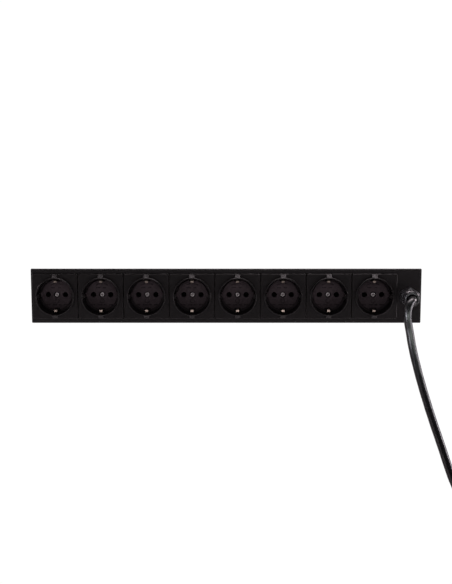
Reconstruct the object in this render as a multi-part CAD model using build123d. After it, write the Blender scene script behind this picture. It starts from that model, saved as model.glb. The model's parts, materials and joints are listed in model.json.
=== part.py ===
from build123d import *
import math
import os

# Rack power strip with eight earthed sockets, a screwed cable gland and a mains cord.
# Millimetres. X runs along the strip, -Y is the front, +Z is up.
# The origin is the centre of the rear mounting face.

# ---- driving dimensions -------------------------------------------------
LENGTH = 428.0            # over the end plates
FACE_H = 61.2             # height of the front face between its sharp corners
REAR_H = 44.0             # height at the rear face
DEPTH = 44.0              # front face to rear face
SHEET = 1.2               # steel of the housing and the cover
END_T = 1.5               # steel of the end plates
BEND_R = 2.0              # outer bend radius at the face
GAP = 0.1                 # between the walls and what is folded inside them
HALF_IN = LENGTH / 2 - END_T

N_SOCKETS = 8
PITCH = 50.0
FIRST_X = -187.5
SOCKET_X = [FIRST_X + PITCH * i for i in range(N_SOCKETS)]
PIN_X = 9.5               # half of the 19 mm pin spacing

# stations along Y, from the face of the housing
PLATE_T = 2.4             # square front plate of a socket
RIM_H = 4.5               # rim above the plate
RECESS_D = 17.5           # rim top to recess floor
FLOOR_T = 2.2
SLEEVE = 2.6              # pin sleeves behind the recess floor, in front of the shutter
Y_FACE = -DEPTH
Y_INSIDE = Y_FACE + SHEET
Y_PLATE = Y_FACE - PLATE_T
Y_RIM = Y_PLATE - RIM_H
Y_FLOOR = Y_RIM + RECESS_D
Y_FLOOR_BACK = Y_FLOOR + FLOOR_T
Y_SLEEVE = Y_FLOOR_BACK + SLEEVE
Y_SEAT = Y_FLOOR + 2.8    # seat of the centre screw's head

GLAND_X = 200.25
THREAD_R = 7.95           # M16 x 1.5
GLAND_AF = 19.0
CORD_R = 4.3

SLOPE = (FACE_H - REAR_H) / 2 / DEPTH
WALL_N = Vector(0, SLOPE, 1).normalized()
WALL_Z = SHEET / WALL_N.Z  # sheet thickness of a sloping wall, measured along Z


def z_out(y):
    """Outside of the top wall."""
    return FACE_H / 2 - (y + DEPTH) * SLOPE


def z_folded(y):
    """Outside of a flange or tab that lies inside the top wall."""
    return z_out(y) - WALL_Z - GAP


# ---- helpers ------------------------------------------------------------
def block(x0, x1, y0, y1, z0, z1):
    centre = Pos((x0 + x1) / 2, (y0 + y1) / 2, (z0 + z1) / 2)
    return centre * Box(abs(x1 - x0), abs(y1 - y0), abs(z1 - z0))


def cyl_y(x, z, y0, y1, radius):
    return Pos(x, (y0 + y1) / 2, z) * Rot(90, 0, 0) * Cylinder(radius, abs(y1 - y0))


def cyl_x(y, z, x0, x1, radius):
    return Pos((x0 + x1) / 2, y, z) * Rot(0, 90, 0) * Cylinder(radius, abs(x1 - x0))


def prism_x(points, x0, x1):
    """Closed outline of (y, z), extruded along X."""
    wire = Wire.make_polygon([Vector(x0, y, z) for y, z in points], close=True)
    return Part() + Solid.extrude(Face(wire), Vector(x1 - x0, 0, 0))


def prism_y(points, y0, y1):
    """Closed outline of (x, z), extruded along Y."""
    wire = Wire.make_polygon([Vector(x, y0, z) for x, z in points], close=True)
    return Part() + Solid.extrude(Face(wire), Vector(0, y1 - y0, 0))


def turned_y(profile, x, z):
    """Closed profile of (radius, y), turned about the Y axis through x, z."""
    wire = Wire.make_polygon([Vector(radius, y, 0) for radius, y in profile], close=True)
    return Pos(x, 0, z) * (Part() + Solid.revolve(Face(wire), 360, Axis((0, 0, 0), (0, 1, 0))))


def turned_z(profile):
    """Closed profile of (radius, z), turned about the Z axis."""
    wire = Wire.make_polygon([Vector(radius, 0, z) for radius, z in profile], close=True)
    return Part() + Solid.revolve(Face(wire), 360, Axis((0, 0, 0), (0, 0, 1)))


def hexagon_y(x, z, y0, y1, across_flats):
    radius = across_flats / math.sqrt(3)
    angles = [math.radians(30 + 60 * i) for i in range(6)]
    return prism_y([(x + radius * math.cos(a), z + radius * math.sin(a)) for a in angles], y0, y1)


def disc(origin, direction, radius):
    return (Plane(origin=origin, z_dir=direction) * Circle(radius)).faces()[0]


def mirrored(points):
    """Outline of (y, z) closed by its own reflection below the middle."""
    return points + [(y, -z) for y, z in reversed(points)]


def fillet_bends(part, y, z, radius):
    """Round the two long edges at y, +z and y, -z."""
    edges = [e for height in (z, -z) for e in part.edges()
             if abs(e.center().Y - y) < 0.05 and abs(e.center().Z - height) < 0.05
             and e.length > 50]
    return fillet(edges, radius)


def edges_at_y(part, y):
    return [e for e in part.edges() if abs(e.center().Y - y) < 0.01]


def save(name, *shapes):
    """Write one solid as it is, several as a compound."""
    solids = [solid for shape in shapes for solid in shape.solids()]
    out = solids[0] if len(solids) == 1 else Compound(children=solids)
    export_step(out, "parts/" + name + ".step")


# ---- countersunk wall screws ----------------------------------------------
CSK_R = 2.75
M3_R = 1.5
# places: (x, y, side), with side 1 on the top wall and -1 on the bottom wall
COVER_SCREWS = [(x, -6.0, side) for x in (-190, -95, 0, 95, 190) for side in (1, -1)]
END_SCREWS = [(end * (HALF_IN - 6), -26.0, side) for end in (-1, 1) for side in (1, -1)]


def on_wall(x, y, side):
    """Frame on the outside of a wall, its Z square to the wall and outward."""
    outward = Vector(0, WALL_N.Y, side * WALL_N.Z)
    return Plane(origin=(x, y, side * z_out(y)), x_dir=(1, 0, 0), z_dir=outward).location


def wall_screw(x, y, side):
    """Head flush with the wall, with a cross recess."""
    screw = turned_z([(0, -0.02), (CSK_R - 0.1, -0.02), (CSK_R - 0.05, -0.1), (M3_R, -1.2),
                      (M3_R, -5.0), (1.2, -5.4), (0, -5.4)])
    for angle in (0, 90):
        screw -= Rot(0, 0, angle + 20) * (Pos(0, 0, -0.3) * Box(3.2, 0.65, 0.9))
    return on_wall(x, y, side) * screw


def wall_countersink(x, y, side):
    return on_wall(x, y, side) * turned_z(
        [(0, 0.5), (CSK_R + 0.67, 0.5), (1.57, -1.2), (1.57, -1.7), (0, -1.7)])


def wall_screw_hole(x, y, side):
    above, below = 2, 6
    drill = Pos(0, 0, (above - below) / 2) * Cylinder(M3_R, above + below)
    return on_wall(x, y, side) * drill


# ---- housing ------------------------------------------------------------
SHELL = mirrored([(0, REAR_H / 2), (Y_FACE, FACE_H / 2)])
CUTOUT_R = 21.5
PEG_XZ = 21.3             # locating pegs: top left and bottom right of a socket
PEG_R = 1.5
STUD_X, STUD_Z, STUD_R = GLAND_X, 19.0, 2.0
FLANGE = 12.0             # cover flanges, forward from the rear face
TAB_Y = (-37, -15)
EAR_Y = -20.0
EAR_Z = (-14.0, 14.0)
REAR_NUT_X = (-175.0, 175.0)
NUT_SHANK_R, NUT_BODY_R, NUT_BORE_R = 3.0, 4.0, 2.0    # press-in nuts


def face_hole(x, z, radius):
    return cyl_y(x, z, Y_FACE - 1, Y_FACE + 3, radius)


def housing_front():
    outer = prism_x(SHELL, -HALF_IN, HALF_IN)
    outer = fillet_bends(outer, Y_FACE, FACE_H / 2, BEND_R)
    z_front = z_out(Y_INSIDE) - WALL_Z
    inner = prism_x(mirrored([(2, z_out(2) - WALL_Z), (Y_INSIDE, z_front)]),
                    -HALF_IN - 1, HALF_IN + 1)
    inner = fillet_bends(inner, Y_INSIDE, z_front, BEND_R - SHEET)
    housing = outer - inner
    for x in SOCKET_X:
        housing -= face_hole(x, 0, CUTOUT_R)
        housing -= face_hole(x - PEG_XZ, PEG_XZ, PEG_R + 0.05)
        housing -= face_hole(x + PEG_XZ, -PEG_XZ, PEG_R + 0.05)
    housing -= face_hole(GLAND_X, 0, 8.2)
    for place in COVER_SCREWS + END_SCREWS:
        housing -= wall_countersink(*place)
    return housing


def rear_cover():
    """Plate with flanges folded forward inside the walls."""
    cover = prism_x(mirrored([(0, z_folded(0)), (-FLANGE, z_folded(-FLANGE)),
                              (-FLANGE, z_folded(-FLANGE) - WALL_Z),
                              (-SHEET, z_folded(-SHEET) - WALL_Z)]),
                    -HALF_IN + 0.2, HALF_IN - 0.2)
    cover = fillet_bends(cover, 0, z_folded(0), 1.6)
    # access for the end plate tabs: the flanges stop short of the ends
    for end in (-1, 1):
        for side in (-1, 1):
            cover -= block(end * (HALF_IN - 13), end * (HALF_IN + 1),
                           -FLANGE - 1, -SHEET, side * 18.9, side * 26)
    for place in COVER_SCREWS:
        cover -= wall_screw_hole(*place)
    for x in REAR_NUT_X:
        cover -= cyl_y(x, 0, -3, 1, NUT_SHANK_R)
    return cover


def end_plate(end):
    """Cap with two folded tabs inside the walls; end is -1 left, 1 right."""
    x_edge = end * LENGTH / 2
    x_near, x_far = sorted((end * HALF_IN, x_edge))
    cap = prism_x(SHELL, x_near, x_far)
    cap = fillet(cap.edges().filter_by(Axis.X), BEND_R)
    cap = fillet([e for e in cap.edges() if abs(e.center().X - x_edge) < 0.01], 0.9)
    y0, y1 = TAB_Y
    for side in (1, -1):
        tab = [(y0, side * z_folded(y0)), (y1, side * z_folded(y1)),
               (y1, side * (z_folded(y1) - WALL_Z)), (y0, side * (z_folded(y0) - WALL_Z))]
        cap += prism_x(tab, *sorted((end * (HALF_IN - 11), end * HALF_IN)))
    for x, y, side in END_SCREWS:
        if x * end > 0:
            cap -= wall_screw_hole(x, y, side)
    for z in EAR_Z:
        cap -= cyl_x(EAR_Y, z, x_near - 1, x_far + 1, NUT_SHANK_R)
    return cap


def ear_nut(end, z):
    nut = cyl_x(EAR_Y, z, end * LENGTH / 2, end * (HALF_IN - 0.5), NUT_SHANK_R)
    nut += cyl_x(EAR_Y, z, end * HALF_IN, end * (HALF_IN - 3.5), NUT_BODY_R)
    return nut - cyl_x(EAR_Y, z, end * (LENGTH / 2 + 1), end * (HALF_IN - 5), NUT_BORE_R)


def rear_nut(x):
    nut = cyl_y(x, 0, -SHEET, 0, NUT_SHANK_R) + cyl_y(x, 0, -4.7, -SHEET, NUT_BODY_R)
    return nut - cyl_y(x, 0, -6, 1, NUT_BORE_R)


def earth_stud():
    """Bonding stud on the inside of the face, above the gland."""
    return cyl_y(STUD_X, STUD_Z, Y_INSIDE, -32, STUD_R)


def earth_stud_nut():
    nut = hexagon_y(STUD_X, STUD_Z, -41.0, -38.0, 7.0)
    return nut - cyl_y(STUD_X, STUD_Z, -42, -37, STUD_R)


# ---- socket insert, built at x = 0 ----------------------------------------
PLATE = 49.6              # side of the square front
RIM_R = 21.0
RECESS_R = 19.7
CUP_R = 21.2
GROOVE_R = 16.4           # the floor is an island with a groove round it
GROOVE_D = 1.4
HUB_R = 4.9               # boss that the shutter turns on
PIN_HOLE_R = 2.75
SCREW_HOLE_R = 1.65
MARK_D = 0.22
# moulded rows of small blocks on the floor: (x of the first, z, count)
MARK_ROWS = ((-6.4, 7.9, 3), (1.5, 7.9, 2),
             (-12.4, -11.3, 3), (-4.6, -11.3, 3), (1.9, -11.3, 2), (7.6, -11.3, 3))
MARK_ANGLES = (62, 69, 76, 104, 111, 118)


def rim_nib(side):
    """Grooved nib from the rim to the edge of the plate, above or below."""
    half = PLATE / 2
    nib = prism_x([(Y_RIM + 0.25, side * (RIM_R - 0.6)), (Y_RIM + 0.25, side * (RIM_R - 0.1)),
                   (Y_PLATE + 0.35, side * (half - 0.25)),
                   (Y_PLATE + 1.0, side * (half - 0.25)),
                   (Y_PLATE + 1.0, side * (RIM_R - 0.6))], -2.75, 2.75)
    for x in (-1.4, 0.0, 1.4):
        nib -= prism_x([(Y_RIM - 0.6, side * (RIM_R + 0.3)),
                        (Y_RIM + 0.85, side * (RIM_R + 0.3)),
                        (Y_PLATE + 0.1, side * (half - 0.55)),
                        (Y_PLATE - 1.6, side * half)], x - 0.14, x + 0.14)
    return nib


def insert_shell():
    """Plate, rim and recess cup."""
    plate = block(-PLATE / 2, PLATE / 2, Y_PLATE, Y_FACE, -PLATE / 2, PLATE / 2)
    plate = fillet(plate.edges().filter_by(Axis.Y), 1.3)
    plate = fillet(edges_at_y(plate, Y_PLATE), 0.9)
    rim = cyl_y(0, 0, Y_RIM, Y_PLATE + 0.5, RIM_R)
    rim = fillet(edges_at_y(rim, Y_RIM), 0.45)
    insert = plate + rim
    for side in (1, -1):
        insert += rim_nib(side)
    insert += cyl_y(0, 0, Y_FACE - 0.5, Y_FLOOR_BACK, CUP_R)
    insert -= cyl_y(0, 0, Y_RIM - 1, Y_FLOOR, RECESS_R)
    # soft inner edge of the rim
    insert -= turned_y([(RECESS_R - 0.01, Y_RIM - 0.5), (RECESS_R + 0.5, Y_RIM - 0.5),
                        (RECESS_R + 0.45, Y_RIM), (RECESS_R, Y_RIM + 0.6),
                        (RECESS_R - 0.01, Y_RIM + 0.6)], 0, 0)
    # groove round the floor
    insert -= turned_y([(GROOVE_R, Y_FLOOR - 1), (RECESS_R, Y_FLOOR - 1),
                        (RECESS_R, Y_FLOOR + GROOVE_D),
                        (GROOVE_R + 0.15, Y_FLOOR + GROOVE_D)], 0, 0)
    return insert


def add_side_features(insert):
    # tongues that carry the floor out across the groove
    for side in (1, -1):
        root, bend, tip = side * (GROOVE_R - 0.5), side * (GROOVE_R + 0.6), side * 18.1
        insert += prism_y([(root, -2.9), (bend, -2.9), (tip, -1.6),
                           (tip, 1.6), (bend, 2.9), (root, 2.9)],
                          Y_FLOOR, Y_FLOOR + GROOVE_D + 0.2)
    # guide ribs at three and nine o'clock, with a slot above and below each
    for side in (1, -1):
        rib = prism_y([(side * 17.7, -1.9), (side * 17.9, -2.2), (side * 19.95, -2.5),
                       (side * 19.95, 2.5), (side * 17.9, 2.2), (side * 17.7, 1.9)],
                      Y_FLOOR + 0.7, Y_RIM + 3.2)
        rib -= prism_y([(side * 17.0, -3), (side * 19.6, -3),
                        (side * 19.6, 3), (side * 17.0, 3)], Y_RIM + 3.1, Y_RIM + 3.3)
        insert += rib
        for up in (1, -1):
            insert -= block(side * 17.2, side * 20.3, Y_FLOOR - 4.5, Y_FLOOR_BACK + 1,
                            up * 3.0, up * 4.8)
    # slots of the earth clip
    for up in (1, -1):
        insert -= block(-3.5, 3.5, Y_FLOOR - 9.5, Y_FLOOR_BACK + 1, up * 14.8, up * 20.35)
        insert += block(-3.5, 3.5, Y_FLOOR_BACK - 0.4, Y_FLOOR_BACK + 2.2,
                        up * 14.6, up * 17.1)
    return insert


def add_boss_and_pin_holes(insert):
    insert += cyl_y(0, 0, Y_FLOOR_BACK - 0.5, Y_SLEEVE + 2.3, HUB_R)
    insert -= cyl_y(0, 0, Y_FLOOR - 1, Y_SEAT, 3.3)
    insert -= cyl_y(0, 0, Y_FLOOR, Y_SLEEVE + 5, SCREW_HOLE_R)
    for x in (PIN_X, -PIN_X):
        insert += cyl_y(x, 0, Y_FLOOR_BACK - 0.5, Y_SLEEVE, 4.1)
        insert -= cyl_y(x, 0, Y_FLOOR - 1, Y_SLEEVE + 1, PIN_HOLE_R)
        insert -= turned_y([(0.01, Y_FLOOR - 0.3), (PIN_HOLE_R + 0.65, Y_FLOOR - 0.3),
                            (PIN_HOLE_R - 0.05, Y_FLOOR + 0.4), (0.01, Y_FLOOR + 0.4)], x, 0)
    return insert


def cut_marks(insert):
    """Sink the block rows, a ring and an arc of blocks into the floor."""
    y0, y1 = Y_FLOOR - 1, Y_FLOOR + MARK_D
    for first_x, z, count in MARK_ROWS:
        for i in range(count):
            x = first_x + 1.6 * i
            insert -= block(x, x + 1.15, y0, y1, z - 0.6, z + 0.6)
    insert -= turned_y([(2.0, y0), (2.55, y0), (2.55, y1), (2.0, y1)], 0, -7.0)
    for angle in MARK_ANGLES:
        insert -= Rot(0, -angle, 0) * block(11.9, 13.1, y0, y1, -0.5, 0.5)
    return insert


def socket_insert():
    insert = add_side_features(insert_shell())
    insert = cut_marks(add_boss_and_pin_holes(insert))
    for side in (1, -1):
        insert += cyl_y(-side * PEG_XZ, side * PEG_XZ, Y_FACE - 0.2, Y_INSIDE, PEG_R)
    return insert


# ---- contact carrier and shutter, at x = 0 --------------------------------
SHUTTER_ANGLE = 35.0
SHUTTER_T = 1.6
SHUTTER_R = 13.4
PLAY = 0.08                                 # in front of and behind the shutter
Y_SHUTTER = Y_SLEEVE + PLAY
Y_SHUTTER_BACK = Y_SHUTTER + SHUTTER_T
Y_SHUTTER_SEAT = Y_SHUTTER_BACK + PLAY
Y_BAR = -23.8                               # seat of the earth clip's bar
Y_CARRIER = -12.5                           # back of the carrier
RIVET_Z = 14.0                              # live rivets above, neutral ones below
RIVET_R = 0.9
TAIL_Z = (7.2, 8.0)                         # tail of the earth clip


def socket_base():
    base = block(-23.5, 23.5, Y_INSIDE + 0.05, -40.8, -23.5, 23.5)
    base = fillet(base.edges().filter_by(Axis.Y), 4)
    base += cyl_y(0, 0, -41.5, Y_BAR, 23.0)
    base += block(-20, 20, -28.0, Y_CARRIER, -19, 19)
    # room for the cup and the shutter
    base -= cyl_y(0, 0, Y_FACE, Y_FLOOR_BACK + 0.05, CUP_R + 0.15)
    base -= cyl_y(0, 0, Y_FACE, Y_SHUTTER_SEAT, SHUTTER_R + 0.3)
    base -= cyl_y(0, 0, Y_SHUTTER_SEAT - 1, -25.1, 7.2)
    # pin holes and contact chambers
    for side in (1, -1):
        base -= cyl_y(side * PIN_X, 0, Y_SHUTTER_SEAT - 1, -25.5, 3.0)
        base -= block(side * 5.6, side * 13.4, -26.0, Y_CARRIER + 1, -4.6, 4.6)
    # channels of the earth clip
    base -= block(-2.1, 2.1, Y_FLOOR_BACK - 1, Y_BAR, -19.2, 19.2)
    base -= block(-3.7, 3.7, Y_FLOOR_BACK - 1, -27.5, 13.9, 20.6)
    base -= block(-3.7, 3.7, Y_FLOOR_BACK - 1, -27.5, -20.6, -13.9)
    # boss, centre screw, square nut, clip tail and rivet heads
    base -= cyl_y(0, 0, Y_SHUTTER_SEAT - 1, Y_BAR, 5.1)
    base -= cyl_y(0, 0, -30, -10, SCREW_HOLE_R)
    base -= block(-2.85, 2.85, -22.0, Y_CARRIER + 1, -2.85, 2.85)
    base -= block(-2.1, 2.1, -25, Y_CARRIER + 1, TAIL_Z[0] - 0.2, TAIL_Z[1] + 0.2)
    for side in (1, -1):
        base -= cyl_y(-side * PIN_X, side * RIVET_Z, Y_CARRIER - 1.0, Y_CARRIER + 1, 2.0)
    return base


def shutter_disc():
    """Shutter at rest: its holes stand SHUTTER_ANGLE away from the pin holes."""
    y0, y1 = Y_SHUTTER - 1, Y_SHUTTER_BACK + 1
    shutter = cyl_y(0, 0, Y_SHUTTER, Y_SHUTTER_BACK, SHUTTER_R)
    shutter -= cyl_y(0, 0, y0, y1, HUB_R + 0.06)
    for turn in (0, 180):
        angle = math.radians(SHUTTER_ANGLE + turn)
        shutter -= cyl_y(PIN_X * math.cos(angle), PIN_X * math.sin(angle), y0, y1, 2.7)
        ramp = Pos(PIN_X, Y_SHUTTER, 0) * Rot(14, 0, 0) * Box(4.6, 1.4, 7.0)
        shutter -= Rot(0, turn, 0) * ramp
    return shutter


def shutter_spring():
    """Torsion spring round the boss."""
    helix = Edge.make_helix(pitch=0.62, height=1.05, radius=5.9,
                            center=(0, 0, 0), normal=(0, 1, 0))
    wire = disc(helix @ 0, helix % 0, 0.24)
    return Pos(0, -26.5, 0) * (Part() + Solid.sweep(wire, path=helix))


def centre_screw():
    """Cheese head with a cross slot."""
    y_head = Y_FLOOR + 0.9
    screw = cyl_y(0, 0, y_head, Y_SEAT, 2.4)
    screw = fillet(edges_at_y(screw, y_head), 0.5)
    for angle in (0, 90):
        screw -= Pos(0, y_head, 0) * Rot(0, angle + 12, 0) * Box(3.1, 1.6, 0.7)
    return screw + cyl_y(0, 0, Y_SEAT - 0.1, -18.6, M3_R)


def clamp_nut():
    return block(-2.8, 2.8, -21.95, -19.5, -2.8, 2.8) - cyl_y(0, 0, -23, -18, 1.52)


# ---- contacts, rails and rivets -------------------------------------------
STRIP_T = 0.8
STRIP_W = 3.5
# centreline of the upper half of the earth clip: (z, y)
CLIP_LINE = [(0.0, -24.2), (17.9, -24.2), (18.4, -31.0), (18.3, -35.5),
             (15.0, -41.4), (14.75, -42.4), (15.0, -43.2), (15.7, -43.75),
             (17.6, -44.45), (18.3, -44.3), (18.6, -43.7)]
FOOT_Y = Y_CARRIER + 0.05      # front of the contact feet
RAIL_Y = (-11.4, -10.4)        # live and neutral rails, front and back
EARTH_Y = (-9.3, -8.5)
EARTH_RIVET_Z = 4.6
RAIL_Z = (11.0, 17.0)          # live rail; the neutral rail mirrors it
TAIL_FOOT_Y = EARTH_Y[0] - STRIP_T
RAIL_END_X = 193.0
TERM_X = RAIL_END_X - 4.5
# (left end x, (front y, back y), (z, z), rivet x from the socket, rivet z, front of the
# riveted stack)
RAILS = {
    "live": (-202.0, RAIL_Y, RAIL_Z, -PIN_X, RIVET_Z, FOOT_Y),
    "neutral": (-188.0, RAIL_Y, (-RAIL_Z[1], -RAIL_Z[0]), PIN_X, -RIVET_Z, FOOT_Y),
    "earth": (-194.0, EARTH_Y, (1.5, 9.0), 0, EARTH_RIVET_Z, TAIL_FOOT_Y),
}
# front face y and z of each rail's terminal
TERMINALS = {name: (row[1][0], sum(row[2]) / 2) for name, row in RAILS.items()}


def strip(points, width, thickness):
    """Mitred strip along a centreline of (z, y), centred on x = 0."""
    headings = [(Vector(*end) - Vector(*start)).normalized()
                for start, end in zip(points, points[1:])]
    left, right = [], []
    for i, (z, y) in enumerate(points):
        beside = headings[max(i - 1, 0):i + 1]
        along = sum(beside, Vector(0, 0, 0)).normalized()
        reach = thickness / 2 / along.dot(beside[0])
        left.append((y + along.X * reach, z - along.Y * reach))
        right.append((y - along.X * reach, z + along.Y * reach))
    return prism_x(left + right[::-1], -width / 2, width / 2)


def earth_clip():
    """Bent strip with a disc under the centre screw and a tail to the earth rail."""
    clip = strip(CLIP_LINE, STRIP_W, STRIP_T)
    clip += mirror(clip, about=Plane.XY)
    clip += cyl_y(0, 0, Y_BAR - STRIP_T, Y_BAR, 4.1)
    clip -= cyl_y(0, 0, -26, -23, 1.55)
    clip += block(-2.0, 2.0, -24.2, EARTH_Y[0], *TAIL_Z)
    clip += block(-2.0, 2.0, TAIL_FOOT_Y, EARTH_Y[0], 2.2, TAIL_Z[1])
    return clip - cyl_y(0, EARTH_RIVET_Z, -11, -9, RIVET_R)


def pin_contact(x, side):
    """Split tube with a foot that lies on the back of the carrier."""
    contact = cyl_y(x, 0, -25.4, Y_CARRIER + 0.1, 3.2) - cyl_y(x, 0, -26.5, -13.4, 2.35)
    contact -= block(x - 0.4, x + 0.4, -26.5, -15.5, -4, 4)
    contact -= turned_y([(0.01, -25.7), (3.0, -25.7), (2.3, -24.7), (0.01, -24.7)], x, 0)
    contact += block(x - 3.0, x + 3.0, FOOT_Y, RAIL_Y[0], side * -3.2, side * RAIL_Z[1])
    return contact - cyl_y(x, side * RIVET_Z, -13, -11, RIVET_R)


def rivet(x, z, y0, y1):
    """Flat heads on both sides of the stack y0..y1."""
    shank = cyl_y(x, z, y0, y1, RIVET_R)
    return shank + cyl_y(x, z, y0 - 0.5, y0, 1.6) + cyl_y(x, z, y1, y1 + 0.5, 1.6)


def rail(name):
    start_x, (y0, y1), span_z, rivet_x, rivet_z, _ = RAILS[name]
    bar = block(start_x, RAIL_END_X, y0, y1, *span_z)
    for x in SOCKET_X:
        bar -= cyl_y(x + rivet_x, rivet_z, y0 - 1, y1 + 1, RIVET_R)
    return bar - cyl_y(TERM_X, TERMINALS[name][1], y0 - 1, y1 + 1, M3_R)


def rail_rivets():
    return [rivet(x + rivet_x, rivet_z, stack_y, span_y[1])
            for x in SOCKET_X
            for _, span_y, _, rivet_x, rivet_z, stack_y in RAILS.values()]


def insulating_sheet():
    return block(-205, 196, -7.3, -6.8, -17.5, 17.5)


# ---- gland --------------------------------------------------------------
Y_GASKET = Y_FACE - 1.0        # front of the gasket
Y_COLLAR = -50.0               # front of the body's hexagon
Y_NUT = -50.3                  # back of the dome nut
Y_NUT_HEX = -59.0              # front of its hexagon
Y_DOME = -69.0                 # its mouth
NUT_MOUTH_R = 5.1
# outline of the dome: (radius, y)
DOME = [(0, -58.4), (9.3, -58.4), (9.4, -60.0), (9.35, -61.6), (9.2, -62.8), (8.9, -63.9),
        (8.5, -64.8), (8.15, -65.4), (7.95, -66.0), (7.95, -66.6), (8.1, -67.2),
        (8.15, -67.8), (8.0, -68.35), (7.6, -68.75), (7.0, Y_DOME), (0, Y_DOME)]


def on_gland(y0, y1, radius):
    return cyl_y(GLAND_X, 0, y0, y1, radius)


def gland_hexagon(y0, y1):
    return hexagon_y(GLAND_X, 0, y0, y1, GLAND_AF)


def gland_locknut():
    return gland_hexagon(Y_INSIDE, -38.0) - on_gland(-45, -37, THREAD_R)


def gland_gasket():
    return on_gland(Y_GASKET, Y_FACE, 9.3) - on_gland(-46, -43, THREAD_R + 0.05)


def gland_body():
    body = on_gland(-45.5, -36.5, THREAD_R)
    chamfering = turned_y([(0, Y_GASKET), (11.0, Y_GASKET), (11.0, -49.2),
                           (9.9, Y_COLLAR), (0, Y_COLLAR)], GLAND_X, 0)
    body += gland_hexagon(Y_COLLAR, Y_GASKET) & chamfering
    body += on_gland(-60.0, Y_COLLAR + 0.2, THREAD_R)
    body -= on_gland(-61, -36, 5.3)
    return body - turned_y([(0.01, -61), (7.0, -61), (6.2, -58), (5.9, -53.0),
                            (0.01, -53.0)], GLAND_X, 0)


def gland_seal():
    return turned_y([(CORD_R, -61.4), (6.9, -61.4), (6.9, -60.1), (6.7, -60.0),
                     (6.15, -57.9), (5.85, -53.05), (CORD_R, -53.05)], GLAND_X, 0)


def gland_slip_washer():
    return on_gland(-62.25, -61.45, 7.6) - on_gland(-63, -61, CORD_R + 0.3)


def gland_dome_nut():
    nut = gland_hexagon(Y_NUT_HEX, Y_NUT)
    nut = nut & turned_y([(0, Y_NUT), (10.0, Y_NUT), (11.0, Y_NUT - 0.8), (11.0, -57.6),
                          (9.5, Y_NUT_HEX), (0, Y_NUT_HEX)], GLAND_X, 0)
    nut = nut + turned_y(DOME, GLAND_X, 0)
    nut -= on_gland(-62.3, Y_NUT + 1, THREAD_R + 0.05)
    nut -= on_gland(Y_DOME - 1, -60, NUT_MOUTH_R)
    # flared mouth
    return nut - turned_y([(0.01, Y_DOME - 0.5), (NUT_MOUTH_R + 1.1, Y_DOME - 0.5),
                           (NUT_MOUTH_R + 0.95, Y_DOME + 0.03),
                           (NUT_MOUTH_R + 0.4, Y_DOME + 0.3),
                           (NUT_MOUTH_R - 0.02, Y_DOME + 0.9), (0.01, Y_DOME + 0.9)],
                          GLAND_X, 0)


# ---- cord ---------------------------------------------------------------
Y_STRIPPED = -39.0             # stripped end of the sheath, inside the housing
Y_HANG = -74.5                 # end of the straight stretch
# centreline of the bend and the free hang: (x, y, z)
HANG = [(GLAND_X, Y_HANG, 0), (198.4, -79.3, -0.9), (195.2, -83.3, -4.3),
        (193.1, -86.2, -11.0), (193.0, -87.6, -17.9), (194.1, -89.0, -27.9),
        (196.5, -94.0, -45.2), (200.8, -100.0, -65.5), (205.8, -107.0, -85.5),
        (210.0, -112.0, -100.4), (214.4, -117.5, -115.2), (219.0, -123.0, -129.8),
        (223.7, -128.5, -144.3), (228.2, -134.0, -158.8), (234.2, -140.0, -176.7),
        (241.8, -145.5, -194.0), (253.0, -149.0, -213.0), (266.0, -150.0, -231.5)]
HANG_PATH = Edge.make_spline([Vector(*point) for point in HANG],
                             tangents=[Vector(0, -1, 0), Vector(0.50, 0.0, -1).normalized()],
                             scale=False)
CORE_R = 1.45
CRIMP_Y = -2.45                # lug sleeve axis from the rail's front face
CRIMP_END = 6.7                # lug sleeve end from the terminal
# core centrelines up to their lugs: (x, y, z)
CORES = {
    "live": [(200.25, Y_STRIPPED, 2.3), (201.5, -33.0, 4.5),
             (201.5, -24.0, 10.5), (200.0, -16.5, 13.6)],
    "neutral": [(202.6, Y_STRIPPED, -1.2), (203.0, -33.0, -3.5),
                (202.5, -24.0, -10.0), (200.5, -16.5, -13.6)],
    "earth": [(198.9, Y_STRIPPED, -1.2), (198.0, -32.0, -1.5),
              (198.3, -22.0, 1.5), (198.6, -15.0, 4.4)],
}


def cable_sheath():
    start = disc((GLAND_X, Y_STRIPPED, 0), (0, -1, 0), CORD_R)
    bend = disc(HANG[0], (0, -1, 0), CORD_R)
    straight = Part() + Solid.extrude(start, Vector(0, Y_HANG - Y_STRIPPED, 0))
    return straight + (Part() + Solid.sweep(bend, path=HANG_PATH))


def core(name):
    face_y, z = TERMINALS[name]
    points = CORES[name] + [(TERM_X + CRIMP_END, face_y + CRIMP_Y, z)]
    path = Edge.make_spline([Vector(*point) for point in points],
                            tangents=[Vector(0, 1, 0), Vector(-1, 0, 0)])
    return Part() + Solid.sweep(disc(points[0], path % 0, CORE_R), path=path)


def core_lug(face_y, z):
    lug = cyl_y(TERM_X, z, face_y - 0.8, face_y, 3.0)
    lug += block(TERM_X, TERM_X + 3.6, face_y - 0.8, face_y, z - 1.5, z + 1.5)
    lug += block(TERM_X + 2.6, TERM_X + 5.0, face_y - 1.6, face_y, z - 1.5, z + 1.5)
    lug += cyl_x(face_y + CRIMP_Y, z, TERM_X + 3.2, TERM_X + CRIMP_END, 2.1)
    lug -= cyl_y(TERM_X, z, face_y - 2, face_y + 1, M3_R)
    return lug - cyl_x(face_y + CRIMP_Y, z, TERM_X + 6.0, TERM_X + 8, CORE_R)


def terminal_screw(face_y, z):
    screw = cyl_y(TERM_X, z, face_y - 3.0, face_y - 0.8, 2.5)
    screw += cyl_y(TERM_X, z, face_y - 1.0, face_y + 1.4, M3_R)
    return screw - block(TERM_X - 0.35, TERM_X + 0.35, face_y - 3.5, face_y - 2.2,
                         z - 3, z + 3)


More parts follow.
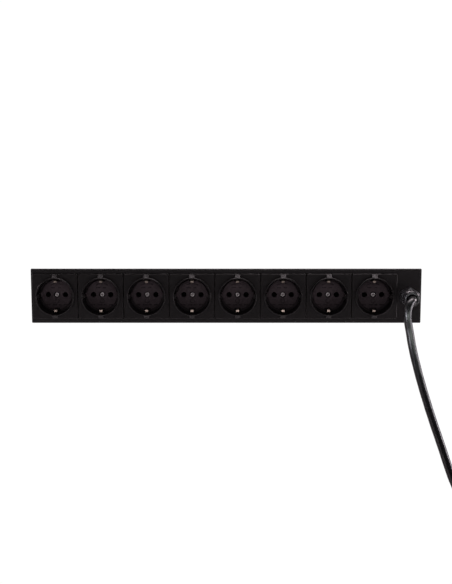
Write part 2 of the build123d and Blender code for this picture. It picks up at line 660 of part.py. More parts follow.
# ---- plug on the free end -----------------------------------------------
# local frame: origin at the end of the cord, +Z from the cord towards the pins
PLUG = Plane(origin=HANG_PATH @ 1, x_dir=(1, 0, 0.5), z_dir=HANG_PATH % 1).location
PLUG_FACE = 34.0
PLUG_PIN_R = 2.4
PLUG_PIN_L = 19.0              # in front of the face
PLUG_PIN_ROOT = 8.0            # behind the face
# outline of the body: (radius, z)
PLUG_OUTLINE = [(0, -30), (5.8, -30), (6.4, -29.2), (6.9, -20), (7.4, -10), (7.9, -4),
                (9.0, 1), (12.0, 6), (15.0, 9), (18.0, 11.5), (19.2, 13.5), (19.4, 16.5),
                (19.0, 18.5), (18.0, 19.2), (17.7, 21), (17.6, 33.4), (17.0, PLUG_FACE),
                (0, PLUG_FACE)]


def pin_rod(side):
    middle = PLUG_FACE + (PLUG_PIN_L - PLUG_PIN_ROOT) / 2
    return Pos(side * PIN_X, 0, middle) * Cylinder(PLUG_PIN_R, PLUG_PIN_L + PLUG_PIN_ROOT)


def plug_body(sheath):
    body = turned_z(PLUG_OUTLINE)
    # strain-relief grooves
    for i in range(5):
        z = -26.5 + 4.2 * i
        depth_r = 5.6 + 0.06 * i
        body -= turned_z([(depth_r, z), (8.5, z), (8.5, z + 1.5), (depth_r, z + 1.5)])
    # finger hollows on both broad sides
    for side in (1, -1):
        body -= Pos(side * 28.5, 0, 12) * Rot(90, 0, 0) * Cylinder(12.5, 60)
    # grooves that the earth contacts lie in, and key slots on the sides
    for side in (1, -1):
        body -= Pos(0, side * 17.2, 27) * Box(5.2, 2.6, 16)
        body -= Pos(side * 17.7, 0, 27.5) * Box(2.4, 5.4, 15)
    body = PLUG * body
    body -= sheath
    for side in (1, -1):
        body -= PLUG * pin_rod(side)
    return body


def plug_pin(side):
    return PLUG * chamfer(pin_rod(side).edges().sort_by(Axis.Z)[-1:], 0.9)


def plug_earth_strip(side):
    contact = Pos(0, side * 16.5, 27) * Box(4.0, 1.2, 13.5)
    return PLUG * fillet(contact.edges().filter_by(Axis.X), 0.5)


# ---- build and write ------------------------------------------------------
def at_sockets(shape):
    return [Pos(x, 0, 0) * shape for x in SOCKET_X]


os.makedirs("parts", exist_ok=True)

for piece in (housing_front, rear_cover, earth_stud, earth_stud_nut, insulating_sheet,
              gland_locknut, gland_gasket, gland_body, gland_seal, gland_slip_washer,
              gland_dome_nut):
    save(piece.__name__, piece())
save("end_plate_left", end_plate(-1))
save("end_plate_right", end_plate(1))
save("cover_screws", *[wall_screw(*place) for place in COVER_SCREWS])
save("end_plate_screws", *[wall_screw(*place) for place in END_SCREWS])
save("ear_mount_nuts", *[ear_nut(end, z) for end in (-1, 1) for z in EAR_Z])
save("rear_mount_nuts", *[rear_nut(x) for x in REAR_NUT_X])

for name, shape in (("socket_insert", socket_insert()), ("socket_base", socket_base()),
                    ("shutter", shutter_disc())):
    for i, placed in enumerate(at_sockets(shape)):
        save("%s_%d" % (name, i + 1), placed)
save("earth_clips", *at_sockets(earth_clip()))
save("centre_screws", *at_sockets(centre_screw()))
save("clamp_nuts", *at_sockets(clamp_nut()))
save("shutter_springs", *at_sockets(shutter_spring()))
save("live_contacts", *at_sockets(pin_contact(-PIN_X, 1)))
save("neutral_contacts", *at_sockets(pin_contact(PIN_X, -1)))

save("rail_rivets", *rail_rivets())
for name in RAILS:
    save(name + "_rail", rail(name))
    save(name + "_core", core(name))
save("core_lugs", *[core_lug(*place) for place in TERMINALS.values()])
save("terminal_screws", *[terminal_screw(*place) for place in TERMINALS.values()])

cord = cable_sheath()
save("cable_sheath", cord)
save("plug_body", plug_body(cord))
save("plug_pins", *[plug_pin(side) for side in (1, -1)])
save("plug_earth_strips", *[plug_earth_strip(side) for side in (1, -1)])
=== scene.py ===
"""A socket strip with a gland and a hanging cord: materials, cord jacket and studio.

The strip lies along X and its socket faces look towards -Y, with +Z up. The cord leaves the
front near the right-hand (+X) end, then hangs down, forwards and to the right.
Units are metres, except for the cord's centreline and radius, which are in millimetres.
"""

import json
import math

import bmesh
import bpy
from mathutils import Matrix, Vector

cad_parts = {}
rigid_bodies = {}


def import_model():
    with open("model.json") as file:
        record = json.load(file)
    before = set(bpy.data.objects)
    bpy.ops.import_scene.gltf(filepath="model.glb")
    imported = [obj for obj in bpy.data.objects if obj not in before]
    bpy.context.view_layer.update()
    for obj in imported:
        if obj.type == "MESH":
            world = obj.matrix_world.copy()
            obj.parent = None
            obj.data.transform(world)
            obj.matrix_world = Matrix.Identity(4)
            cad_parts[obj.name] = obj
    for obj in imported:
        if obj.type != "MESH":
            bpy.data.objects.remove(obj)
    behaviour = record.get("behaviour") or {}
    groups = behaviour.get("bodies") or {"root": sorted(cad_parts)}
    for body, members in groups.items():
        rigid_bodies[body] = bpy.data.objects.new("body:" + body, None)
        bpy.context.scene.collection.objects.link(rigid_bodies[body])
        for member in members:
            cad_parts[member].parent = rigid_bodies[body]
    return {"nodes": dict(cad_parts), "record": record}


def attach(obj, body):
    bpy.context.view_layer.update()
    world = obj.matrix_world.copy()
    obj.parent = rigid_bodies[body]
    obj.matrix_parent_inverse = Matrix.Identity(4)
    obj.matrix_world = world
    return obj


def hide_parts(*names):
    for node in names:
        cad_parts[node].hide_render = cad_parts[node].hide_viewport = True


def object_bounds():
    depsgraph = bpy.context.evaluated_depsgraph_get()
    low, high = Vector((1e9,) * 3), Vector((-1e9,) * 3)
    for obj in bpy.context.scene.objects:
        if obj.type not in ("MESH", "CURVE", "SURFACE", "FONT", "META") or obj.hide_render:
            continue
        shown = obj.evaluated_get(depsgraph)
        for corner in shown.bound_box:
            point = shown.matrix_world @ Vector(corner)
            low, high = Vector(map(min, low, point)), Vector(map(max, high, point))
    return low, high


MM = 0.001

# Sockets repeat along X; one pitch cell starts this far left of the strip's middle
SOCKET_PITCH = 0.05
CELL_START = 0.2125

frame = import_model()
cad_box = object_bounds()
nodes = frame["nodes"]
scene = bpy.context.scene


# ---------------------------------------------------------------- node graphs
class Graph:
    """A node tree with one output. Inputs take either sockets to link or plain values."""

    def __init__(self, owner, output):
        owner.use_nodes = True
        self.tree = owner.node_tree
        self.tree.nodes.clear()
        self.output = self.node(output, {})

    def put(self, socket, value):
        if isinstance(value, bpy.types.NodeSocket):
            self.tree.links.new(value, socket)
        else:
            socket.default_value = value

    def node(self, kind, inputs, **settings):
        node = self.tree.nodes.new("ShaderNode" + kind)
        for name, value in settings.items():
            setattr(node, name, value)
        for key, value in inputs.items():
            self.put(node.inputs[key], value)
        return node

    def map_range(self, kind, value, over, to):
        inputs = {
            "Value": value,
            "From Min": over[0], "From Max": over[1],
            "To Min": to[0], "To Max": to[1],
        }
        return self.node("MapRange", inputs, interpolation_type=kind).outputs["Result"]

    def smooth(self, value, over, to=(0.0, 1.0)):
        return self.map_range("SMOOTHSTEP", value, over, to)

    def linear(self, value, over=(0.0, 1.0), to=(0.0, 1.0)):
        return self.map_range("LINEAR", value, over, to)

    def split_camera_rays(self, seen, others):
        """Show one shader to the camera and another to all other rays."""
        is_camera = self.node("LightPath", {}).outputs["Is Camera Ray"]
        mix = self.node("MixShader", {0: is_camera, 1: others, 2: seen})
        self.put(self.output.inputs[0], mix.outputs[0])


class Surface(Graph):
    """A material with a Principled shader, textured in object coordinates."""

    def __init__(self, name):
        self.material = bpy.data.materials.new(name)
        super().__init__(self.material, "OutputMaterial")
        self.shader = self.node("BsdfPrincipled", {})
        self.put(self.output.inputs[0], self.shader.outputs[0])
        self.coord = self.node("TexCoord", {}).outputs["Object"]

    def finish(self, inputs):
        for name, value in inputs.items():
            self.put(self.shader.inputs[name], value)
        return self.material

    def math(self, operation, a, b=0.0, clamp=False):
        inputs = {0: a, 1: b, 2: 0.0}
        return self.node("Math", inputs, operation=operation, use_clamp=clamp).outputs[0]

    def add(self, a, b, clamp=False):
        return self.math("ADD", a, b, clamp)

    def subtract(self, a, b, clamp=False):
        return self.math("SUBTRACT", a, b, clamp)

    def multiply(self, a, b):
        return self.math("MULTIPLY", a, b)

    def centred(self, noise, gain):
        """Noise moved to swing about zero, then scaled."""
        return self.multiply(self.subtract(noise, 0.5), gain)

    def axis(self, letter):
        return self.node("SeparateXYZ", {0: self.coord}).outputs[letter]

    def mapped(self, scale=(1, 1, 1), rotation=(0, 0, 0)):
        inputs = {"Vector": self.coord, "Scale": scale, "Rotation": rotation}
        return self.node("Mapping", inputs).outputs[0]

    def noise(self, scale, detail=3.0, roughness=0.5, vector=None):
        inputs = {
            "Vector": vector or self.coord,
            "Scale": scale, "Detail": detail, "Roughness": roughness,
        }
        return self.node("TexNoise", inputs).outputs["Fac"]

    def scratches(self, scale, rotation, over):
        """Mask of long thin marks, from stretched noise."""
        streaks = self.noise(scale=1.0, detail=2.0, vector=self.mapped(scale, rotation))
        return self.smooth(streaks, over=over)

    def cover(self, under, over, mask, amount=None):
        """Lay one colour over another where the mask is 1, weakened by amount."""
        if amount is not None:
            mask = self.multiply(mask, amount)
        return self.node("Mix", {0: mask, 6: under, 7: over}, data_type="RGBA").outputs[2]

    def mottle(self, noise, low, high):
        """Drift between two colours with the noise."""
        return self.cover(low, high, self.smooth(noise, over=(0.3, 0.7)))

    def bump(self, height, distance, strength=1.0, normal=None):
        inputs = {"Height": height, "Distance": distance, "Strength": strength}
        if normal is not None:
            inputs["Normal"] = normal
        return self.node("Bump", inputs).outputs[0]

    def bevel_normal(self, radius):
        return self.node("Bevel", {"Radius": radius}, samples=4).outputs[0]

    def edge(self, radius, over=(0.02, 0.25)):
        """Mask that is 1 on outer and inner edges narrower than the radius, 0 on flats."""
        bevel = self.bevel_normal(radius)
        normal = self.node("NewGeometry", {}).outputs["Normal"]
        dot = self.node("VectorMath", {0: bevel, 1: normal}, operation="DOT_PRODUCT")
        turn = self.subtract(1.0, dot.outputs["Value"], clamp=True)
        return self.smooth(turn, over=over)


def shade(base, gain=1.0, lift=0.0):
    """RGBA from a colour multiplied by gain and raised by lift."""
    return tuple(min(1.0, c * gain + lift) for c in base) + (1.0,)


def socket_x(g):
    """X measured from the centre of the nearest socket."""
    in_cell = g.math("FLOORED_MODULO", g.add(g.axis("X"), CELL_START), SOCKET_PITCH)
    return g.subtract(in_cell, SOCKET_PITCH / 2)


def socket_radius(g):
    """Distance from the axis of the nearest socket."""
    x = socket_x(g)
    z = g.axis("Z")
    return g.math("SQRT", g.add(g.multiply(x, x), g.multiply(z, z)))


# ---------------------------------------------------------------- materials
def moulded(name, base, roughness, grain=1500.0, grain_depth=0.00003, edge_light=0.5,
            specular=0.5, scuff=0.10):
    """Moulded plastic with cloudy colour, paler edges, scratches and a fine grain."""
    variation = 0.16
    g = Surface(name)
    clouds = g.noise(scale=22.0, roughness=0.55)
    blotches = g.noise(scale=170.0, detail=4.0, roughness=0.6)
    fine = g.noise(scale=grain, detail=2.0, roughness=0.6)
    colour = g.mottle(clouds, shade(base, 1 - variation), shade(base, 1 + variation))
    pale = g.smooth(blotches, over=(0.45, 0.8))
    colour = g.cover(colour, shade(base, 1 + variation * 1.6), pale, amount=0.5)
    edge = g.edge(radius=0.0006)
    edge = g.multiply(edge, g.smooth(blotches, over=(0.25, 0.65), to=(0.35, 1.0)))
    colour = g.cover(colour, shade(base, gain=2.6, lift=0.02), edge, amount=edge_light)
    marks = g.scratches(scale=(60.0, 900.0, 900.0), rotation=(0.1, 0.05, 0.35),
                        over=(0.62, 0.72))
    rough = g.add(roughness, g.centred(blotches, gain=scuff * 2))
    return g.finish({
        "Base Color": colour,
        "Roughness": g.subtract(rough, g.multiply(marks, scuff), clamp=True),
        "Specular IOR Level": specular,
        "Normal": g.bump(fine, distance=grain_depth, normal=g.bevel_normal(radius=0.00018)),
    })


def powder(name, base, roughness):
    """Powder coat with a fine orange-peel surface, specks and worn edges."""
    g = Surface(name)
    clouds = g.noise(scale=9.0)
    peel = g.noise(scale=620.0, detail=2.0)
    fine = g.noise(scale=2600.0, detail=1.0)
    colour = g.mottle(clouds, shade(base, gain=0.9), shade(base, gain=1.12))
    specks = g.smooth(fine, over=(0.66, 0.74))
    colour = g.cover(colour, shade(base, gain=2.2), specks, amount=0.35)
    edge = g.edge(radius=0.0012, over=(0.015, 0.2))
    patches = g.noise(scale=90.0, detail=4.0, roughness=0.6)
    wear = g.multiply(edge, g.smooth(patches, over=(0.5, 0.7), to=(0.25, 1.0)))
    colour = g.cover(colour, shade(base, gain=2.0, lift=0.01), wear, amount=0.4)
    blotches = g.noise(scale=140.0, roughness=0.6)
    soft = g.bump(peel, distance=0.00005, strength=0.55, normal=g.bevel_normal(radius=0.0003))
    return g.finish({
        "Base Color": colour,
        "Roughness": g.add(roughness, g.centred(blotches, gain=0.16)),
        "Specular IOR Level": 0.42,
        "Normal": g.bump(fine, distance=0.00001, strength=0.5, normal=soft),
    })


def screw_head_painted_shade(g):
    """Screw head, painted shade: full colour on its flat face, painted shade on its rounded
    edge and in its cross recess.
    """
    face = g.smooth(socket_radius(g), over=(0.00195, 0.00225), to=(1.0, 0.30))
    recess = g.linear(g.axis("Y"), over=(-0.0324, -0.0322), to=(1.0, 0.30))
    return g.multiply(face, recess)


def clip_painted_shade(g):
    """Spring strip, painted shade: full colour along its middle, painted shade at its sides and
    towards both ends, where it sits in its slot.
    """
    x = socket_x(g)
    z = g.axis("Z")
    side = g.smooth(g.math("ABSOLUTE", x), over=(0.0011, 0.0018), to=(1.0, 0.30))
    upper = g.smooth(z, over=(0.0157, 0.0166), to=(1.0, 0.05))
    lower = g.smooth(z, over=(-0.0180, -0.0165), to=(0.20, 1.0))
    return g.multiply(side, g.multiply(upper, lower))


def metal(name, base, roughness, brush, brush_amount, stain=0.25, painted_shade=None, metallic=1.0):
    """Brushed metal. Brush is the noise scale per axis; the optional mask function paints
    shade, near black where the mask is 0.
    """
    g = Surface(name)
    lines = g.noise(scale=1.0, roughness=0.6, vector=g.mapped(scale=brush))
    blotches = g.noise(scale=260.0, detail=4.0, roughness=0.6)
    colour = g.mottle(lines, shade(base, gain=0.86), shade(base, gain=1.08))
    stained = g.smooth(blotches, over=(0.55, 0.8))
    colour = g.cover(colour, shade(base, gain=0.55), stained, amount=stain)
    edge = g.edge(radius=0.0005, over=(0.05, 0.4))
    colour = g.cover(colour, shade((0.05, 0.045, 0.04)), edge, amount=0.15)
    if painted_shade is not None:
        # Painted shade: near-black laid over the metal where the mask is 0
        colour = g.cover(shade((0.010, 0.009, 0.008)), colour, painted_shade(g))
    rough = g.add(roughness, g.centred(lines, gain=brush_amount * 2))
    dull = g.multiply(g.smooth(blotches, over=(0.5, 0.8)), 0.12)
    bevel = g.bevel_normal(radius=0.00015)
    return g.finish({
        "Base Color": colour,
        "Metallic": metallic,
        "Roughness": g.add(rough, dull, clamp=True),
        "Normal": g.bump(lines, distance=0.00002, strength=0.6, normal=bevel),
    })


def socket_moulding():
    """Satin plate and rim with a painted highlight on the rim, painted shade on the recess wall
    and on whatever lies below the floor, and a paler, matt, grained recess floor.
    """
    plate_low, plate_high = (0.0088, 0.0080, 0.0082), (0.0120, 0.0108, 0.0112)
    floor_low, floor_high = (0.0600, 0.0480, 0.0530), (0.0800, 0.0640, 0.0710)
    # Painted shade for the recess wall and for whatever lies below the floor
    painted_recess_shade = shade((0.0050, 0.0045, 0.0047))
    g = Surface("socket_moulding")

    # Masks by depth (Y, deeper is larger) and by distance from the socket's axis
    y = g.axis("Y")
    radius = socket_radius(g)
    floor = g.smooth(y, over=(-0.0350, -0.0342))
    inside = g.multiply(g.linear(radius, over=(0.0196, 0.0198), to=(1.0, 0.0)),
                        g.smooth(y, over=(-0.0500, -0.0494)))
    wall = g.multiply(inside, g.linear(radius, over=(0.0186, 0.0190)))
    painted_rim_highlight = g.multiply(g.linear(y, over=(-0.0504, -0.0508)),
                     g.linear(radius, over=(0.0213, 0.0215), to=(1.0, 0.0)))
    clouds = g.noise(scale=26.0, roughness=0.55)
    blotches = g.noise(scale=200.0, detail=4.0, roughness=0.6)
    patches = g.noise(scale=420.0, roughness=0.65)
    fine = g.noise(scale=1900.0, detail=2.0, roughness=0.65)

    plate = g.mottle(clouds, shade(plate_low), shade(plate_high))
    deep = g.mottle(clouds, shade(floor_low), shade(floor_high))
    pale = g.smooth(patches, over=(0.35, 0.7))
    deep = g.cover(deep, shade(floor_high, gain=1.45), pale, amount=0.5)
    colour = g.cover(plate, deep, floor)
    # Painted shade: whatever lies deeper than the floor turns dark, a little less so further
    # out
    sunk_painted_shade = g.multiply(g.linear(y, over=(-0.03333, -0.03325)),
                      g.linear(radius, over=(0.0168, 0.0170), to=(1.0, 0.75)))
    colour = g.cover(colour, painted_recess_shade, sunk_painted_shade, amount=0.85)
    # Painted shade on the recess wall
    colour = g.cover(colour, painted_recess_shade, wall)
    # Painted highlight on the rim's front face
    colour = g.cover(colour, shade((0.0330, 0.0315, 0.0320)), painted_rim_highlight, amount=0.8)
    specks = g.smooth(fine, over=(0.55, 0.72))
    colour = g.cover(colour, shade((0.035, 0.030, 0.033)), specks, amount=0.25)
    edge = g.multiply(g.edge(radius=0.0006),
                      g.smooth(blotches, over=(0.25, 0.65), to=(0.4, 1.0)))
    edge = g.multiply(edge, g.linear(wall, to=(1.0, 0.1)))
    colour = g.cover(colour, shade((0.050, 0.045, 0.047)), edge, amount=0.30)

    rough = g.add(g.linear(floor, to=(0.42, 0.66)), g.centred(blotches, gain=0.18))
    rough = g.subtract(rough, g.multiply(painted_rim_highlight, 0.06))
    marks = g.scratches(scale=(80.0, 700.0, 900.0), rotation=(0.1, 0.3, 0.5),
                        over=(0.64, 0.72))
    grain = g.multiply(fine, g.linear(floor, to=(0.45, 1.0)))
    return g.finish({
        "Base Color": colour,
        "Roughness": g.subtract(rough, g.multiply(marks, 0.10), clamp=True),
        "Specular IOR Level": g.linear(floor, to=(0.45, 0.35)),
        "Normal": g.bump(grain, distance=0.00004, normal=g.bevel_normal(radius=0.0002)),
    })


def striped_core():
    """Green and yellow striped wire insulation."""
    g = Surface("core_green_yellow")
    inputs = {"Vector": g.mapped(rotation=(0.6, 0.3, 0)), "Scale": 55.0, "Distortion": 1.5}
    stripes = g.smooth(g.node("TexWave", inputs).outputs["Fac"], over=(0.45, 0.55))
    green, yellow = shade((0.06, 0.28, 0.05)), shade((0.75, 0.62, 0.05))
    return g.finish({
        "Base Color": g.cover(green, yellow, stripes),
        "Roughness": g.add(0.38, g.multiply(g.noise(scale=400.0), 0.15)),
        "Normal": g.bump(g.noise(scale=1600.0), distance=0.00002),
    })


def cord_material():
    """Black cord jacket with a little dust and a very fine grain."""
    g = Surface("cord_jacket")
    clouds = g.noise(scale=30.0, roughness=0.55)
    blotches = g.noise(scale=240.0, detail=4.0, roughness=0.6)
    fine = g.noise(scale=2100.0, detail=2.0, roughness=0.6)
    colour = g.mottle(clouds, shade((0.0070, 0.0069, 0.0071)), shade((0.0100, 0.0098, 0.0100)))
    dust = g.smooth(g.noise(scale=420.0, detail=2.0), over=(0.62, 0.80))
    return g.finish({
        "Base Color": g.cover(colour, shade((0.03, 0.03, 0.03)), dust, amount=0.15),
        "Roughness": g.add(0.29, g.centred(blotches, gain=0.10), clamp=True),
        "Specular IOR Level": 0.55,
        "Normal": g.bump(fine, distance=0.000012, strength=0.6),
    })


# Material slot: material. The positional values are name, base colour and roughness;
# for metals they go on with the brush scale per axis and the brush's roughness swing.
MATERIALS = {
    "shell_paint": powder("shell_powder_coat", (0.0140, 0.0132, 0.0136), 0.46),
    "black_zinc": metal("black_zinc", (0.075, 0.075, 0.078), 0.42, (400, 400, 400), 0.08),
    "zinc_steel": metal("zinc_plated_steel", (0.62, 0.62, 0.58), 0.34, (300, 900, 900), 0.10),
    # The spring clips and the screw heads below carry masks of painted shade
    "nickel_spring": metal("nickel_spring_strip", (0.66, 0.58, 0.49), 0.30,
                           (260, 900, 3000), 0.10, painted_shade=clip_painted_shade),
    "nickel_screw": metal("nickel_screw", (0.97, 0.93, 0.92), 0.36, (1500, 1500, 1500), 0.10,
                          stain=0.12, painted_shade=screw_head_painted_shade, metallic=0.78),
    "contact_brass": metal("contact_brass", (0.80, 0.58, 0.26), 0.30, (60, 900, 900), 0.10),
    "sheet_insulation": moulded("insulating_sheet", (0.42, 0.43, 0.46), 0.55),
    "gland_plastic": moulded("gland_polyamide", (0.0170, 0.0160, 0.0175), 0.27,
                             grain=1300.0, grain_depth=0.00002, scuff=0.06),
    "seal_rubber": moulded("seal_rubber", (0.014, 0.014, 0.0145), 0.72,
                           grain=1000.0, grain_depth=0.00005),
    "core_brown": moulded("core_brown", (0.16, 0.06, 0.025), 0.40),
    "core_blue": moulded("core_blue", (0.03, 0.11, 0.36), 0.40),
    "core_green_yellow": striped_core(),
    "tinned_copper": metal("tinned_copper", (0.74, 0.73, 0.70), 0.25, (500, 500, 500), 0.10),
    "socket_plastic": socket_moulding(),
    "base_plastic": moulded("carrier_plastic", (0.010, 0.010, 0.0105), 0.52, grain=1200.0),
    # Shutters: black plastic darkened further and made barely reflective, partly their own
    # colour and partly painted shade for the deep pin holes
    "shutter_plastic": moulded("shutter_plastic", (0.0022, 0.0022, 0.0023), 0.75,
                               edge_light=0.1, specular=0.08),
    "plug_plastic": moulded("plug_soft_plastic", (0.0125, 0.0120, 0.0124), 0.50,
                            grain=900.0, grain_depth=0.00005),
    "pin_nickel": metal("pin_nickel", (0.80, 0.78, 0.74), 0.22, (900, 900, 120), 0.08),
    "cord_jacket": cord_material(),
}

slot_of = {part["node"]: part["material_slot"] for part in frame["record"]["subparts"]}
for name, piece in nodes.items():
    piece.data.materials.clear()
    piece.data.materials.append(MATERIALS[slot_of[name]])
    for polygon in piece.data.polygons:
        polygon.material_index = 0

# ---------------------------------------------------------------- cord jacket
CORD_RADIUS = 4.26
SPIRAL_HEIGHT = 0.035
SPIRAL_PITCH = 0.055  # metres along the cord
CORES = 3
SAG = 0.5  # how far the free part hangs to the right of the nominal line
STEPS_PER_SPAN = 8
RING_POINTS = 48
CAP_RING = 0.55  # the caps' inner ring, as a share of the outer one

# Centreline: a straight run out of the gland, then the hanging part; x, y, z in mm
CORD_LINE = [
    (200.25, y, 0.0) for y in (-39.0, -44.0, -49.0, -54.0, -59.0, -64.0, -68.0, -71.5, -74.5)
] + [
    (199.233, -77.946, -0.428), (197.323, -80.774, -1.722), (195.445, -83.016, -3.908),
    (194.047, -84.714, -6.824), (193.22, -85.956, -10.164), (192.9, -86.86, -13.697),
    (192.964, -87.51, -17.3), (193.253, -88.003, -20.919), (193.666, -88.465, -24.53),
    (194.128, -89.041, -28.119), (194.582, -89.831, -31.667), (195.033, -90.797, -35.172),
    (195.5, -91.874, -38.643), (196.002, -92.998, -42.094), (196.558, -94.108, -45.542),
    (197.182, -95.159, -48.995), (197.866, -96.166, -52.451), (198.598, -97.152, -55.904),
    (199.366, -98.14, -59.347), (200.158, -99.155, -62.777), (200.964, -100.221, -66.189),
    (201.774, -101.349, -69.58), (202.592, -102.524, -72.952), (203.423, -103.726, -76.313),
    (204.271, -104.935, -79.666), (205.14, -106.133, -83.018), (206.036, -107.3, -86.374),
    (206.957, -108.429, -89.735), (207.9, -109.541, -93.097), (208.858, -110.654, -96.453),
    (209.825, -111.791, -99.799), (210.796, -112.97, -103.13), (211.771, -114.186, -106.446),
    (212.753, -115.427, -109.751), (213.745, -116.681, -113.048), (214.75, -117.933, -116.341),
    (215.769, -119.178, -119.633), (216.801, -120.417, -122.923), (217.845, -121.652, -126.211),
    (218.901, -122.886, -129.495), (219.967, -124.119, -132.777), (221.037, -125.356, -136.056),
    (222.104, -126.598, -139.333), (223.161, -127.85, -142.611), (224.202, -129.114, -145.889),
    (225.227, -130.384, -149.169), (226.243, -131.646, -152.455), (227.258, -132.887, -155.75),
    (228.279, -134.092, -159.056), (229.315, -135.251, -162.374), (230.375, -136.374, -165.697),
    (231.468, -137.472, -169.017), (232.605, -138.557, -172.327), (233.794, -139.641, -175.619),
    (235.045, -140.733, -178.885), (236.362, -141.824, -182.125), (237.743, -142.893, -185.346),
    (239.189, -143.918, -188.553), (240.699, -144.877, -191.751), (242.271, -145.747, -194.943),
    (243.909, -146.516, -198.129), (245.622, -147.189, -201.297), (247.419, -147.774, -204.437),
    (249.309, -148.276, -207.535), (251.302, -148.704, -210.579), (253.406, -149.063, -213.557),
    (255.609, -149.359, -216.469), (257.854, -149.596, -219.355), (260.081, -149.776, -222.259),
    (262.227, -149.902, -225.226), (264.225, -149.976, -228.296), (266.0, -150.0, -231.5),
]


def clamp01(value):
    return min(1.0, max(0.0, value))


def ease(value):
    t = clamp01(value)
    return t * t * (3 - 2 * t)


def hang(x, y, z):
    """Shift the free part sideways, easing in below z = -18 and out again by z = -228."""
    return Vector((x + SAG * ease((-18.0 - z) / 20.0) * ease((z + 228.0) / 40.0), y, z)) * MM


def catmull_rom(points, steps):
    line = []
    last = len(points) - 1
    for i in range(last):
        before, start = points[max(0, i - 1)], points[i]
        end, after = points[i + 1], points[min(last, i + 2)]
        for k in range(steps):
            t = k / steps
            line.append(0.5 * (
                (2 * start) + (end - before) * t
                + (2 * before - 5 * start + 4 * end - after) * t * t
                + (3 * start - before - 3 * end + after) * t ** 3
            ))
    line.append(points[-1])
    return line


def cord_radius(distance, angle):
    """Three cores laid in a rope show through the free part as a faint long spiral."""
    free = clamp01((distance - 0.036) / 0.012)
    lay = math.cos(CORES * (angle + 2 * math.pi * distance / SPIRAL_PITCH))
    return (CORD_RADIUS + SPIRAL_HEIGHT * free * lay) * MM


def mesh_object(name, bm):
    mesh = bpy.data.meshes.new(name)
    bm.to_mesh(mesh)
    bm.free()
    obj = bpy.data.objects.new(name, mesh)
    scene.collection.objects.link(obj)
    return obj


def cap(bm, ring):
    """Close one end with a ring of quads round a fan of triangles."""
    middle = sum((vert.co for vert in ring), Vector()) / len(ring)
    inner = [bm.verts.new(middle + (vert.co - middle) * CAP_RING) for vert in ring]
    centre = bm.verts.new(middle)
    for k in range(len(ring)):
        after = (k + 1) % len(ring)
        bm.faces.new((ring[k], inner[k], inner[after], ring[after]))
        bm.faces.new((inner[k], centre, inner[after]))


def tube(name, line, radius_at):
    """A closed tube whose radius varies with the length along it and the angle round it."""
    bm = bmesh.new()
    rings = []
    # Each ring's first direction is carried on to the next, so that the tube doesn't twist
    across = Vector((1, 0, 0))
    length = 0.0
    for i, point in enumerate(line):
        along = (line[min(len(line) - 1, i + 1)] - line[max(0, i - 1)]).normalized()
        if i:
            length += (point - line[i - 1]).length
        across = (across - along * across.dot(along)).normalized()
        side = along.cross(across)
        ring = []
        for k in range(RING_POINTS):
            angle = 2 * math.pi * k / RING_POINTS
            outward = across * math.cos(angle) + side * math.sin(angle)
            ring.append(bm.verts.new(point + outward * radius_at(length, angle)))
        rings.append(ring)
    for ring, following in zip(rings, rings[1:]):
        for k in range(RING_POINTS):
            after = (k + 1) % RING_POINTS
            bm.faces.new((ring[k], ring[after], following[after], following[k]))
    cap(bm, rings[0])
    cap(bm, rings[-1])
    bmesh.ops.recalc_face_normals(bm, faces=bm.faces)
    obj = mesh_object(name, bm)
    for polygon in obj.data.polygons:
        polygon.use_smooth = True
    return obj


cord_path = catmull_rom([hang(*point) for point in CORD_LINE], STEPS_PER_SPAN)
cord = tube("cord_jacket", cord_path, cord_radius)
cord.data.materials.append(MATERIALS["cord_jacket"])
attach(cord, "root")
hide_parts("cable_sheath")

# ---------------------------------------------------------------- floor and world
FLOOR_GAP = 0.004  # below the lowest point of the strip's pieces
BACKDROP = 1.02  # brightness of the floor and world as the camera sees them
AMBIENT = 0.12  # world brightness behind the strip, for all other rays
FRONT_SHARE = 0.012  # share of it in front of the strip
WHITE = (1, 1, 1, 1)

scene.view_settings.view_transform = "Standard"
scene.view_settings.look = "None"
scene.view_settings.exposure = 0.0
scene.view_settings.gamma = 1.0


def paper_material():
    """Plain white to the camera, grey diffuse paper to the light."""
    material = bpy.data.materials.new("studio_paper")
    g = Graph(material, "OutputMaterial")
    noise = g.node("TexNoise", {"Scale": 6.0}).outputs["Fac"]
    diffuse = g.node("BsdfDiffuse", {"Color": g.linear(noise, to=(0.44, 0.50))})
    emission = g.node("Emission", {"Color": WHITE, "Strength": BACKDROP})
    g.split_camera_rays(seen=emission.outputs[0], others=diffuse.outputs[0])
    return material


def studio_world():
    """White to the camera; for other rays a pale sweep behind the strip, dark in front."""
    world = bpy.data.worlds.new("studio")
    g = Graph(world, "OutputWorld")
    white = g.node("Background", {"Color": WHITE, "Strength": BACKDROP})
    direction = g.node("TexCoord", {}).outputs["Generated"]
    y = g.node("SeparateXYZ", {0: direction}).outputs["Y"]
    sweep = g.smooth(y, over=(0.0, 0.45), to=(FRONT_SHARE * AMBIENT, AMBIENT))
    dim = g.node("Background", {"Color": (1.0, 0.985, 1.0, 1), "Strength": sweep})
    g.split_camera_rays(seen=white.outputs[0], others=dim.outputs[0])
    return world


grid = bmesh.new()
bmesh.ops.create_grid(grid, x_segments=8, y_segments=8, size=6.0)
floor = mesh_object("floor", grid)
floor.location = (0, 0, cad_box[0].z - FLOOR_GAP)
floor.data.materials.append(paper_material())
scene.world = studio_world()

# ---------------------------------------------------------------- lights
TINT = (1.0, 0.885, 0.925)

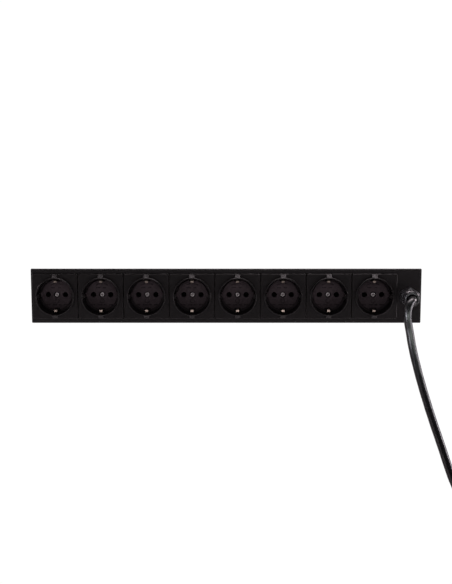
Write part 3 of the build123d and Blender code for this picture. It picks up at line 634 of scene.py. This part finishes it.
# Name, place, point aimed at, width and height, power in watts
LIGHTS = [
    ("top_back", (0.15, 0.35, 0.95), (0.0, -0.03, 0.0), (1.2, 0.3), 9.0),
    ("front", (0.0, -1.9, 0.75), (0.0, -0.05, 0.0), (0.9, 0.5), 3.6),
    ("low_left", (-0.7, -0.75, -0.2), (-0.1, -0.05, 0.0), (0.3, 0.1), 0.30),
    ("low_right", (0.75, -0.75, -0.2), (0.1, -0.05, 0.0), (0.3, 0.1), 0.40),
    ("under_near", (0.0, -0.25, -0.235), (0.0, -0.05, 0.0), (1.2, 0.15), 0.10),
    ("side_left", (-0.80, -0.09, 0.0), (-0.2, -0.05, 0.0), (0.12, 0.3), 0.20),
    ("side_right", (0.80, -0.09, 0.0), (0.2, -0.05, 0.0), (0.12, 0.3), 1.20),
    # These stand behind the front's plane and light the back and the two ends
    ("back_soft", (0.0, 1.30, 0.45), (0.0, 0.0, 0.0), (1.4, 0.6), 6.5),
    ("end_left", (-0.95, 0.35, 0.28), (-0.21, -0.02, 0.0), (0.3, 0.3), 3.0),
    ("end_right", (0.95, 0.35, 0.28), (0.21, -0.02, 0.0), (0.3, 0.3), 3.0),
]
# Small lights that reach only the gland and the cord; the last column is the colour
CORD_LIGHTS = [
    ("cord_strip", (0.2, -0.17, 0.002), (0.2, -0.09, -0.025), (0.4, 0.018), 0.10,
     (0.93, 1.0, 0.96)),
    ("gland_side", (0.42, -0.10, -0.01), (0.2, -0.075, -0.01), (0.06, 0.24), 0.24,
     (0.90, 0.88, 1.0)),
    ("gland_left", (0.05, -0.20, 0.02), (0.2, -0.075, -0.005), (0.08, 0.06), 0.18,
     (0.90, 0.88, 1.0)),
    ("gland_above", (0.22, -0.11, 0.25), (0.2, -0.075, 0.0), (0.08, 0.06), 0.06,
     (0.92, 0.96, 1.0)),
]


def look_along(obj, direction):
    obj.rotation_euler = direction.to_track_quat("-Z", "Y").to_euler()


def area_light(name, place, target, size, power, colour=TINT):
    light = bpy.data.lights.new(name, "AREA")
    light.shape = "RECTANGLE"
    light.size, light.size_y = size
    light.energy = power
    light.color = colour
    obj = bpy.data.objects.new(name, light)
    obj.location = place
    look_along(obj, Vector(target) - Vector(place))
    obj.visible_camera = False
    scene.collection.objects.link(obj)
    return obj


gland_and_cord = bpy.data.collections.new("gland_and_cord")
all_but_cord = bpy.data.collections.new("all_but_cord")
for obj in (nodes["gland_dome_nut"], nodes["gland_body"], cord):
    gland_and_cord.objects.link(obj)
for obj in bpy.data.objects:
    if obj.type == "MESH" and obj is not cord:
        all_but_cord.objects.link(obj)
for row in LIGHTS:
    lamp = area_light(*row)
    if row[0] == "front":
        lamp.light_linking.receiver_collection = all_but_cord
for row in CORD_LIGHTS:
    area_light(*row).light_linking.receiver_collection = gland_and_cord

# ---------------------------------------------------------------- camera
# In front of the strip and a little above it, its axis right of the view's middle
ELEVATION = math.radians(8.5)
DISTANCE = 1.2
VIEW_WIDTH = 0.64094  # width of the view at the aim point
VIEW_SHIFT = -0.010975  # sideways shift of the view there
AIM_BASE = Vector((0, -0.044, 0))
AIM_RIGHT = 0.0107555
AIM_UP = 0.00449975

forward = Vector((0, math.cos(ELEVATION), -math.sin(ELEVATION)))
upward = Vector((0, math.sin(ELEVATION), math.cos(ELEVATION)))
aim = AIM_BASE + Vector((1, 0, 0)) * AIM_RIGHT + upward * AIM_UP
camera_data = bpy.data.cameras.new("camera")
camera_data.sensor_width = 36.0
camera_data.lens = 36.0 * DISTANCE / VIEW_WIDTH
camera_data.shift_x = VIEW_SHIFT / VIEW_WIDTH
camera_data.clip_start = 0.01
camera_data.clip_end = 50.0
camera = bpy.data.objects.new("camera", camera_data)
camera.location = aim - forward * DISTANCE
look_along(camera, forward)
scene.collection.objects.link(camera)
scene.camera = camera
